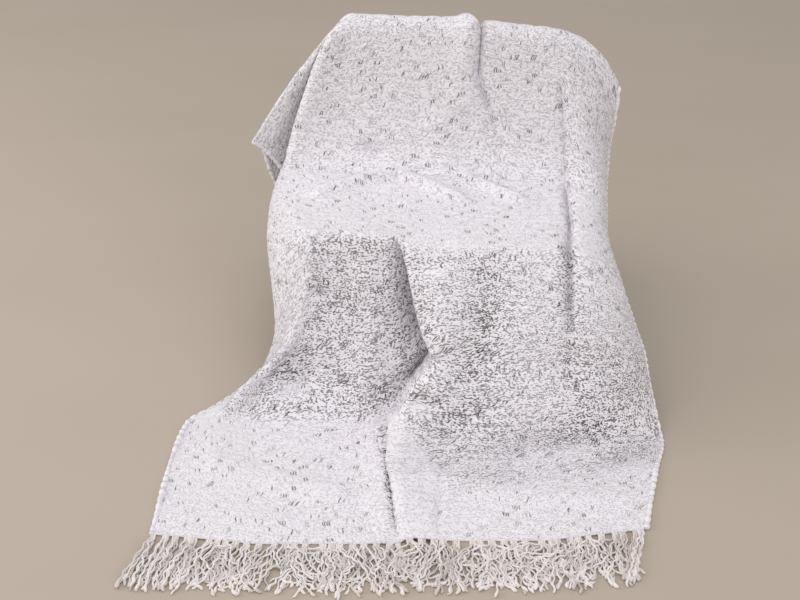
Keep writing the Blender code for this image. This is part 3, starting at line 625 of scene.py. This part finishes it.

# Its relief: how fine the noises are that lead rows and ties astray, raise the threads and swell
# the nubs, how far astray, and how high or deep each thing is as a share of the bump's depth.
# A pair is for where no shade is painted, and how much more where the painted shade is full.
ASTRAY_FINE = 60.0
ROWS_ASTRAY = 0.70
TIES_ASTRAY = 0.25
THREADS_FINE = 600.0
NUBS_FINE = 95.0
NUBS_HIGH = 0.85
THREADS_HIGH = 0.18
SLIT_DEEP = 0.70
GAP_DEEP = (0.34, 0.50)
DEEP_WHERE_SHADED = 0.10
RELIEF_DEEP = 0.0050          # the bump's depth, in metres

# Its colours: the cotton, the painted shade between its threads, and how dark slits and gaps get
# from it.
COTTON_WHITE = (0.885, 0.861, 0.902, 1.0)
COTTON_SHADE = (0.125, 0.098, 0.088, 1.0)
SLIT_SHADE = 0.80
GAP_SHADE = (0.05, 0.73)


def nubbed_cotton(name):
    """White cotton of thick soft rows: slits between the threads of each tie, some deep and some
    closed, and crinkled nubs with thin gaps between them, both painted dark as shade, darker still
    where more shade is painted on hanging parts, troughs and the groove."""
    material, shader, wire = new_finish(name, 0.95, sheen=0.1, gloss=0.2)
    # woven holds ties, rows and the painted shade, given as how far the weave is open.
    woven = wire.node("ShaderNodeAttribute", {"attribute_name": "woven"}, {}, "Vector")
    ties, rows, shade_opening = woven.parts()
    drawn = wire.node("ShaderNodeAttribute", {"attribute_name": "drawn"}, {}, "Vector")
    longer, drawn_out = drawn.parts()[:2]
    place = wire.node("ShaderNodeCombineXYZ", {}, {0: TIE_PITCH * ties, 1: ROW_PITCH * rows,
                                                   2: longer})
    astray = place.noise(ASTRAY_FINE, 1.0) - 0.5
    row = rows.maths("FLOOR", rows)
    off_row = ROW_PITCH * (rows - row - 0.5 + ROWS_ASTRAY * astray)
    shifted = ties + 0.5 * row.maths("FLOORED_MODULO", row, 2.0)
    tie = shifted.maths("ROUND", shifted)
    off_tie = TIE_PITCH * (shifted - tie + TIES_ASTRAY * astray)
    slit_number = tie.maths("FLOOR", off_tie * (1.0 / SLIT_PITCH))
    off_slit = (off_tie * (1.0 / SLIT_PITCH) - slit_number - 0.5).size()
    slit = ((1.0 - off_slit.between(*SLIT_WIDE)) * (1.0 - off_tie.size().between(*SLIT_REACH))
            * (1.0 - off_row.size().between(*SLIT_ALONG))
            * (tie + SLIT_NUMBERS * slit_number).chance(row).between(*SLIT_CHANCE)
            * tie.chance(row + 0.5).between(*TIE_CHANCE)
            * shade_opening.between(*SLIT_BY_SHADING) * (1.0 - drawn_out))
    crown = (2.0 * math.pi * rows - 0.5 * math.pi).sine()
    patches = place.noise(PATCH_FINE, 1.0) - 0.5
    gaps = (place.stretched(GAP_STRETCH).noise(GAP_FINE, 2.0) + GAP_BY_ROW * crown
            - GAP_BY_SHADING * shade_opening + PATCH_STRONG * patches * shade_opening)
    gap = 1.0 - gaps.between(*GAP_FROM_TO)
    threads = place.noise(THREADS_FINE, 2.0)
    nubs = place.noise(NUBS_FINE, 1.0)
    shade_opening_part = shade_opening.maths("MAXIMUM", shade_opening, 0.0)
    height = (NUBS_HIGH * nubs + THREADS_HIGH * threads - SLIT_DEEP * slit
              - gap * (GAP_DEEP[0] + GAP_DEEP[1] * shade_opening_part) - DEEP_WHERE_SHADED * shade_opening)
    # The slits and gaps are the weave's own openings; their dark colour is painted shade, deeper
    # where more shade is painted.
    shade = SLIT_SHADE * slit + gap * (GAP_SHADE[0] + GAP_SHADE[1] * shade_opening_part)
    connect(shade.blend(COTTON_WHITE, COTTON_SHADE), shader, "Base Color")
    connect(height.bump(RELIEF_DEEP), shader, "Normal")
    return material


RIM_OUT = 0.0015              # how far the rim stands out beyond the two skins


def even_lines(count, start, stop):
    """This many steps from start to stop."""
    return np.linspace(start, stop, count + 1)


def throw_mesh(across, along, middle):
    """A closed sheet: a fine upper skin with the rows' relief, a lower one with every second
    line, 6 mm apart, and a rim that stands out a little and joins the two. Returns points,
    faces, each point's place in the weave with its painted shade, and how far it is drawn."""
    normals = surface_normals(middle)
    across_grid, along_grid = np.meshgrid(across, along)
    ties, rows = weave_place(across_grid, along_grid)
    relief = puff_height(ties, rows)[..., None]
    upper = middle + (0.5 * CLOTH_THICK + relief) * normals
    lower = (middle - (0.5 * CLOTH_THICK - UNDER_PUFF * relief) * normals)[::2, ::2]
    lower[..., 2] = np.maximum(lower[..., 2], 0.0)
    upper_at = np.arange(upper[..., 0].size).reshape(upper.shape[:2])
    lower_at = upper_at.size + np.arange(lower[..., 0].size).reshape(lower.shape[:2])

    def cells(at):
        return np.stack((at[:-1, :-1], at[:-1, 1:], at[1:, 1:], at[1:, :-1]),
                        axis=-1).reshape(-1, 4)

    def around(at):
        return np.concatenate((at[0, :-1], at[:-1, -1], at[-1, :0:-1], at[:0:-1, 0]))

    ring = around(upper_at)
    low_ring = around(lower_at)
    line = middle.reshape(-1, 3)[ring]
    onward = np.roll(line, -1, axis=0) - np.roll(line, 1, axis=0)
    outward = np.cross(onward, normals.reshape(-1, 3)[ring])
    outward = outward / np.linalg.norm(outward, axis=-1, keepdims=True)
    edge = line + RIM_OUT * outward
    edge[:, 2] = np.maximum(edge[:, 2], 0.5 * CLOTH_THICK)
    edge_at = upper_at.size + lower_at.size + np.arange(len(ring))
    top_rim = np.stack((ring, edge_at, np.roll(edge_at, -1), np.roll(ring, -1)), axis=-1)
    low_rim = np.stack((edge_at[::2], low_ring, np.roll(low_ring, -1),
                        np.roll(edge_at, -2)[::2], edge_at[1::2]), axis=-1)
    faces = (cells(upper_at).tolist() + cells(lower_at)[:, ::-1].tolist() + top_rim.tolist()
             + low_rim.tolist())

    def on_all(values):
        return np.concatenate((values.reshape(-1, 3), values[::2, ::2].reshape(-1, 3),
                               values.reshape(-1, 3)[ring]))

    # Its third number is painted shade, given as how far the weave is open.
    woven = np.stack((ties, rows, shade_as_open_weave(across_grid, along_grid, normals)), axis=-1)
    points = np.concatenate((upper.reshape(-1, 3), lower.reshape(-1, 3), edge))
    return points, faces, on_all(woven), on_all(weave_drawn(across, middle))


cotton = nubbed_cotton("nubbed_cotton")
across_lines = even_lines(TIES * LINES_TO_TIE, -0.5 * CLOTH_WIDTH, 0.5 * CLOTH_WIDTH)
between_lines = 0.5 * (across_lines[:-1] + across_lines[1:])
creased_lines = [line for line in between_lines if any(low < line < high for low, high in CREASED)]
creased_lines = creased_lines[:len(creased_lines) // 2 * 2]
across_lines = np.sort(np.concatenate((across_lines, creased_lines)))
along_lines = even_lines(ROWS * LINES_TO_ROW, 0.0, CLOTH_LENGTH)
cloth = cloth_middle(across_lines, along_lines)
throw_points, throw_faces, throw_woven, throw_drawn = throw_mesh(across_lines, along_lines, cloth)
throw = soft_object("throw_cloth", throw_points, throw_faces, cotton, woven=throw_woven,
                    drawn=throw_drawn)
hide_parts("throw")


# Its selvedges: each weft yarn turns back at the side, so the edge is a row of small bobbles.
# They are part of the weaving, and stand a few millimetres proud of the cloth.
BOBBLE_THIN = 0.0034          # the edge's radius between bobbles, and how much more it is at one
BOBBLE_THICK = 0.0042
BOBBLE_STEPS = 7
BOBBLE_SUNK = 0.8             # how high a bobble's middle is on the floor, as a share of its radius
SELVEDGE_SIDES = 8
SELVEDGE_TIE = 0.25           # its place in the weave: beside a tie, where slits are few


def tubes(paths, radii, sides, upright):
    """Round tubes carried along many paths at once: each ring lies across the path's way, its
    first side towards the cross of that way and the upright. Returns points and faces."""
    way = np.gradient(paths, axis=1)
    way = way / np.linalg.norm(way, axis=-1, keepdims=True)
    side = np.cross(way, np.broadcast_to(upright, way.shape))
    side = side / np.linalg.norm(side, axis=-1, keepdims=True)
    up = np.cross(side, way)
    turn = np.linspace(0.0, 2.0 * math.pi, sides, endpoint=False)
    ring = (np.cos(turn)[:, None] * side[:, :, None, :] + np.sin(turn)[:, None] * up[:, :, None, :])
    points = paths[:, :, None, :] + radii[:, :, None, None] * ring
    count, stations = paths.shape[:2]
    at = np.arange(count * stations * sides).reshape(count, stations, sides)
    following = np.roll(at, -1, axis=2)
    walls = np.stack((at[:, :-1], at[:, 1:], following[:, 1:], following[:, :-1]), axis=-1)
    starts = at[:, 0, :]
    stops = at[:, -1, ::-1]
    faces = walls.reshape(-1, 4).tolist() + starts.tolist() + stops.tolist()
    return points.reshape(-1, 3), faces


def on_line(places, lines, points):
    """Points at places along a line, straight between the points that it has."""
    return np.stack([np.interp(places, lines, points[:, axis]) for axis in range(3)], axis=-1)


def selvedge(name, side_column, sign):
    """A row of bobbles along a side edge, one to a row of the weave: the radius swells with the
    square root of |sin|."""
    at = even_lines(ROWS * BOBBLE_STEPS, 0.0, CLOTH_LENGTH)
    path = on_line(at, along_lines, cloth[:, side_column])
    rows = weave_place(sign * 0.5 * CLOTH_WIDTH, at)[1]
    unlike = 1.0 + PUFF_SPREAD * np.sin(PUFF_BY_ROW * np.floor(rows) + sign)
    radius = BOBBLE_THIN + BOBBLE_THICK * unlike * np.sqrt(np.abs(np.sin(math.pi * rows)))
    path[:, 2] = np.maximum(path[:, 2], BOBBLE_SUNK * radius)
    points, faces = tubes(path[None], radius[None], SELVEDGE_SIDES, (0.0, 0.3, 1.0))
    points[:, 2] = np.maximum(points[:, 2], 0.0)
    woven = np.stack((np.full_like(at, SELVEDGE_TIE), rows, np.zeros_like(at)), axis=-1)
    woven = np.repeat(woven, SELVEDGE_SIDES, axis=0)
    return soft_object(name, points, faces, cotton, woven=woven)


selvedges = [selvedge("left_selvedge", 0, -1.0), selvedge("right_selvedge", -1, 1.0)]


# The fringe on the front hem: the warp yarns run on past the cloth in small bunches, each yarn
# twisted and nearly 5 mm thick. They lie tangled on the floor and end in small tufts.
BUNCH_PITCH = 0.0280          # how far apart the bunches are, the yarns in one and its width
BUNCH_YARNS = 10
BUNCH_WIDE = 0.0150
BUNCH_SCATTER = 0.20          # how far bunches are off their even places, as a share of the pitch
BUNCH_ALIKE = 0.85            # how much of a yarn's way is its bunch's, and how much its own
YARN_OWN = 0.50
YARN_THICK = 0.0047
YARN_LONG = 0.172
YARN_STATIONS = 30
YARN_SIDES = 6
YARN_LEAN = 0.26              # radians that the yarns lean, bend, crimp and curl on the floor
YARN_BEND = 0.62
YARN_CRIMP = 0.54
CRIMP_LONG = 0.034
YARN_CURL = 0.80
BEND_TURNS = 5.0              # radians that a bend runs through, and how much this and where it
TURNS_UNLIKE = 0.9            # starts differ from bunch to bunch
START_UNLIKE = 2.5
YARN_FAN = 0.55               # radians that a bunch spreads
YARN_LAYERS = 0.0170          # how high the yarns pile up
YARN_LUMP = 0.16
INTO_HEM = 0.006
YARN_EASE = 0.25              # after which share of its length a yarn goes its own way and after
YARN_SINK = 0.40              # which it is down on the floor, and how much less its end piles up
YARN_LOW = 0.80
TUFT_AT = 0.95                # where the tuft is and how long, as shares of a yarn's length, and
TUFT_LONG = 0.045             # how much thicker than the yarn it is
TUFT_THICK = 0.95

# What differs from yarn to yarn, from its least to its most: shares of the usual measure or
# number, and radians for the turns and the phase.
VARIES = {
    "tuft":         (0.20, 1.40),
    "lump turns":   (18.0, 34.0),
    "phase":        (0.0, 6.0),
    "thickness":    (0.85, 1.15),
    "crimp":        (0.50, 1.30),
    "crimps":       (0.70, 1.30),
    "length":       (0.86, 1.08),
    "weave turns":  (4.0, 9.0),
    "hung length":  (0.90, 1.06),
    "sway turns":   (2.0, 5.0),
}

# How the yarns lie at the two ends of the hem: from which x, over how much, and by how much
# they lean outward on the left, lean inward on the right, and lie straighter on each side.
LEFT_OUTWARD = (0.25, 0.36, 0.20)
RIGHT_INWARD = (0.38, 0.18, 0.30)
LEFT_CALM = (0.47, 0.10, 0.75)
RIGHT_CALM = (0.49, 0.08, 0.88)


# The yarn's finish: radians of twist to a metre, how deep the twist is and how much painted shade
# darkens its grooves, the two colours and how grey the greyest yarn is.
TWIST_FINE = 1400.0
TWIST_DEEP = 0.0004
TWIST_SHADE = 0.07
YARN_WHITE = (0.960, 0.925, 0.910, 1.0)
YARN_GREY = (0.380, 0.290, 0.230, 1.0)
GREYEST = 0.50


def yarn_finish(name):
    """White cotton yarn: its twist runs round it, with painted shade in the twist's grooves, and
    some yarns are greyer than others.
    """
    material, shader, wire = new_finish(name, 0.9, sheen=0.15, gloss=0.25)
    place = wire.node("ShaderNodeAttribute", {"attribute_name": "woven"}, {}, "Vector")
    along_yarn, around, shade = place.parts()
    twist = (TWIST_FINE * along_yarn + 2.0 * math.pi * around).sine()
    # The yarn's own grey, plus painted shade in the twist's grooves.
    grey = shade + (TWIST_SHADE - TWIST_SHADE * twist)
    connect(grey.blend(YARN_WHITE, YARN_GREY), shader, "Base Color")
    connect(twist.bump(TWIST_DEEP), shader, "Normal")
    return material


def yarn_radii(count, stations, radius, rng):
    """Each yarn's radius along it: lumps of a sine, and a tuft of k exp(-((t - c) / w)^2)."""
    part = np.linspace(0.0, 1.0, stations)[None, :]
    tuft = TUFT_THICK * rng.uniform(*VARIES["tuft"], (count, 1))
    bulge = tuft * np.exp(-((part - TUFT_AT) / TUFT_LONG) ** 2)
    turns = rng.uniform(*VARIES["lump turns"], (count, 1))
    phase = rng.uniform(*VARIES["phase"], (count, 1))
    lumps = YARN_LUMP * np.sin(turns * part + phase)
    return radius * rng.uniform(*VARIES["thickness"], (count, 1)) * (1.0 + lumps + bulge)


def bunch_places(pitch, yarns, wide, rng):
    """Where the yarns leave the hem: in bunches a pitch apart, yarns close together in each."""
    bunches = int(CLOTH_WIDTH / pitch)
    middles = (np.arange(bunches) + 0.5) / bunches * CLOTH_WIDTH - 0.5 * CLOTH_WIDTH
    middles = middles + rng.normal(0.0, BUNCH_SCATTER * pitch, bunches)
    spread = (np.arange(yarns) + 0.5) / yarns - 0.5
    places = (middles[:, None] + wide * spread[None, :]).ravel()
    return places, np.tile(spread, bunches)


def by_bunch(scatter, yarns, count, rng):
    """One normal number to each bunch, plus a smaller one of each yarn's own."""
    shared = np.repeat(rng.normal(0.0, 1.0, count // yarns), yarns)
    return scatter * (BUNCH_ALIKE * shared + YARN_OWN * rng.normal(0.0, 1.0, count))


def floor_yarns(hem, rng):
    """Paths on the floor: each heading is lean + bend sin(turns t + phase) + crimp sin(s) +
    curl t^3, and the path is the running sum of its steps. The height weaves the yarns over
    one another."""
    places, spread = bunch_places(BUNCH_PITCH, BUNCH_YARNS, BUNCH_WIDE, rng)
    root = on_line(places, across_lines, hem)
    count = len(places)
    part = np.linspace(0.0, 1.0, YARN_STATIONS)[None, :]

    def at_end(side, start, over, share):
        return share * rise(side * root[:, 0], start, over)

    calm = 1.0 - at_end(-1.0, *LEFT_CALM) - at_end(1.0, *RIGHT_CALM)
    lean = (calm * (by_bunch(YARN_LEAN, BUNCH_YARNS, count, rng) + YARN_FAN * spread)
            - at_end(-1.0, *LEFT_OUTWARD) - at_end(1.0, *RIGHT_INWARD))
    bend = calm * by_bunch(YARN_BEND, BUNCH_YARNS, count, rng)
    turns = BEND_TURNS + by_bunch(TURNS_UNLIKE, BUNCH_YARNS, count, rng)
    phase = by_bunch(START_UNLIKE, BUNCH_YARNS, count, rng)
    crimp = YARN_CRIMP * rng.uniform(*VARIES["crimp"], count)
    crimps = (2.0 * math.pi * YARN_LONG / CRIMP_LONG
              * rng.uniform(*VARIES["crimps"], count))
    crimp_phase = rng.uniform(0.0, 2.0 * math.pi, count)
    curl = calm * rng.normal(0.0, YARN_CURL, count)
    heading = (lean[:, None] + bend[:, None] * np.sin(turns[:, None] * part + phase[:, None])
               + crimp[:, None] * np.sin(crimps[:, None] * part + crimp_phase[:, None])
               ) * ease(part / YARN_EASE) + curl[:, None] * part ** 3
    length = YARN_LONG * rng.uniform(*VARIES["length"], count)
    step = (length / (YARN_STATIONS - 1))[:, None]
    x = root[:, :1] + np.cumsum(np.sin(heading) * step, axis=1)
    y = root[:, 1:2] - np.cumsum(np.cos(heading) * step, axis=1) + INTO_HEM
    weave_turns = rng.uniform(*VARIES["weave turns"], (count, 1))
    weave_phase = rng.uniform(*VARIES["phase"], (count, 1))
    weave = 0.5 + 0.5 * np.sin(weave_turns * part + weave_phase)
    lift = YARN_LAYERS * rng.uniform(0.0, 1.0, (count, 1)) * weave * ease(part / YARN_EASE)
    down = (root[:, 2:] - 0.5 * CLOTH_THICK) * (1.0 - ease(part / YARN_SINK))
    z = 0.5 * YARN_THICK + down + lift * (1.0 - YARN_LOW * part ** 4)
    return np.stack((x, y, z), axis=-1)


def fringe(name, paths, radii, upright, finish, rng):
    """All the yarns of one fringe as a single mesh of tubes."""
    points, faces = tubes(paths, radii, YARN_SIDES, upright)
    points[:, 2] = np.maximum(points[:, 2], 0.0)
    count, stations = paths.shape[:2]
    along = np.linspace(0.0, YARN_LONG, stations)
    woven = np.zeros((count, stations, YARN_SIDES, 3))
    woven[..., 0] = along[None, :, None] + rng.uniform(0.0, 1.0, (count, 1, 1))
    woven[..., 1] = np.abs(np.linspace(-1.0, 1.0, YARN_SIDES, endpoint=False))[None, None, :]
    woven[..., 2] = GREYEST * rng.uniform(0.0, 1.0, (count, 1, 1)) ** 4
    return soft_object(name, points, faces, finish, woven=woven)


yarn = yarn_finish("cotton_yarn")
front_rng = np.random.default_rng(41)
front_paths = floor_yarns(cloth[0], front_rng)
front_radii = yarn_radii(len(front_paths), YARN_STATIONS, 0.5 * YARN_THICK, front_rng)
front_fringe = fringe("front_fringe_yarns", front_paths, front_radii, (0.0, 0.0, 1.0), yarn,
                      front_rng)
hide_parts("front_fringe")


# The fringe at the end behind the chair: the same bunches with a yarn fewer in each, hanging
# down and swaying a little, because only the hem holds them.
FRINGE_HANG = 0.152
HANG_STATIONS = 16
HANG_SWAY = 0.010             # how far a yarn sways and a bunch spreads at their ends
HANG_FAN = 0.006
HANG_BACK = 0.12              # how far back the plumb line leans, for each metre down


def hanging_yarns(hem, inside, rng):
    """Paths down from the hem: the first part goes on the way of the cloth, easing into the
    plumb line, and each yarn sways by a t^2 sin(turns t + phase) to either side."""
    places, spread = bunch_places(BUNCH_PITCH, BUNCH_YARNS - 1, BUNCH_WIDE, rng)
    root = on_line(places, across_lines, hem)
    onward = root - on_line(places, across_lines, inside)
    onward = onward / np.linalg.norm(onward, axis=-1, keepdims=True)
    count = len(places)
    part = np.linspace(0.0, 1.0, HANG_STATIONS)[None, :, None]
    length = FRINGE_HANG * rng.uniform(*VARIES["hung length"], (count, 1, 1))
    plumb = np.array((0.0, HANG_BACK, -1.0))
    straight = length * part * onward[:, None, :]
    hang = length * part * plumb
    blend = (1.0 - part) ** 2
    path = root[:, None, :] + hang + blend * (straight - hang)
    sway = HANG_SWAY * rng.normal(0.0, 1.0, (count, 1, 2)) * part ** 2
    turns = rng.uniform(*VARIES["sway turns"], (count, 1, 2))
    phase = rng.uniform(*VARIES["phase"], (count, 1, 2))
    path[..., :2] += sway * np.sin(turns * part + phase)
    path[..., 0] += HANG_FAN * spread[:, None] * part[..., 0]
    return path


back_rng = np.random.default_rng(17)
back_paths = hanging_yarns(cloth[-1], cloth[-2], back_rng)
back_radii = yarn_radii(len(back_paths), HANG_STATIONS, 0.5 * YARN_THICK, back_rng)
back_fringe = fringe("back_fringe_yarns", back_paths, back_radii, (1.0, 0.0, 0.1), yarn, back_rng)
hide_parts("back_fringe")


# The setting: a plain pale floor, four large soft lights, overhead, to the left front, to the
# right front and to the left, a pale sky, and a camera above and in front of the chair.
FLOOR_HALF = 30.0
FLOOR_ROUGH = 0.65
FLOOR_STREAKS = (0.8, 2.4, 1.0)
FLOOR_DARK = (0.46, 0.395, 0.32, 1.0)
FLOOR_PALE = (0.50, 0.435, 0.36, 1.0)
floor_mesh = bpy.data.meshes.new("floor")
floor_mesh.from_pydata([(-FLOOR_HALF, -FLOOR_HALF, 0.0), (FLOOR_HALF, -FLOOR_HALF, 0.0),
                        (FLOOR_HALF, FLOOR_HALF, 0.0), (-FLOOR_HALF, FLOOR_HALF, 0.0)],
                       [], [(0, 1, 2, 3)])
floor = bpy.data.objects.new("floor", floor_mesh)
bpy.context.scene.collection.objects.link(floor)
floor_finish, floor_shader, floor_wire = new_finish("pale_floor", FLOOR_ROUGH)
floor_place = floor_wire.node("ShaderNodeTexCoord", output="Object")
floor_tone = floor_place.stretched(FLOOR_STREAKS).noise(1.0, 3.0)
connect(floor_tone.blend(FLOOR_DARK, FLOOR_PALE), floor_shader, "Base Color")
floor_mesh.materials.append(floor_finish)

# Where each light is and what it is aimed at, how wide it is, its watts and its tint.
LIGHTS = {
    "overhead":    ((-0.3, 0.05, 3.3), (-0.05, 0.05, 0.2), 1.8, 15.0, (0.98, 0.975, 1.0)),
    "left_front":  ((-2.6, -3.0, 2.4), (0.0, 0.3, 0.7), 2.0, 17.0, (0.98, 0.975, 1.0)),
    "right_front": ((2.4, -3.4, 2.2), (0.0, 0.0, 0.5), 2.0, 36.0, (0.98, 0.975, 1.0)),
    "left":        ((-5.2, 0.5, 2.2), (0.0, 0.2, 0.5), 2.8, 102.0, (1.0, 0.97, 0.95)),
}
for light_name, (light_at, aim, wide, watts, tint) in LIGHTS.items():
    data = bpy.data.lights.new(light_name, "AREA")
    data.size = wide
    data.energy = watts
    data.color = tint
    light = bpy.data.objects.new(light_name, data)
    bpy.context.scene.collection.objects.link(light)
    light.location = light_at
    turned = np.array(aim) - np.array(light_at)
    level = math.hypot(turned[0], turned[1])
    light.rotation_euler = (math.atan2(level, -turned[2]), 0.0,
                            math.atan2(turned[1], turned[0]) - 0.5 * math.pi)

SKY_TINT = (1.0, 0.970, 0.965, 1.0)
SKY_STRENGTH = 0.66
sky = bpy.data.worlds.new("studio")
sky.use_nodes = True
sky.node_tree.nodes["Background"].inputs["Color"].default_value = SKY_TINT
sky.node_tree.nodes["Background"].inputs["Strength"].default_value = SKY_STRENGTH
bpy.context.scene.world = sky
bpy.context.scene.view_settings.view_transform = "Standard"

CAMERA_AT = (-0.030, -2.442, 1.99)
CAMERA_DOWN = math.radians(34.0)
CAMERA_LENS = 49.5
camera_data = bpy.data.cameras.new("camera")
camera_data.sensor_width = 36.0
camera_data.lens = CAMERA_LENS
camera = bpy.data.objects.new("camera", camera_data)
bpy.context.scene.collection.objects.link(camera)
camera.location = CAMERA_AT
camera.rotation_euler = (0.5 * math.pi - CAMERA_DOWN, 0.0, 0.0)
bpy.context.scene.camera = camera

bpy.context.view_layer.update()
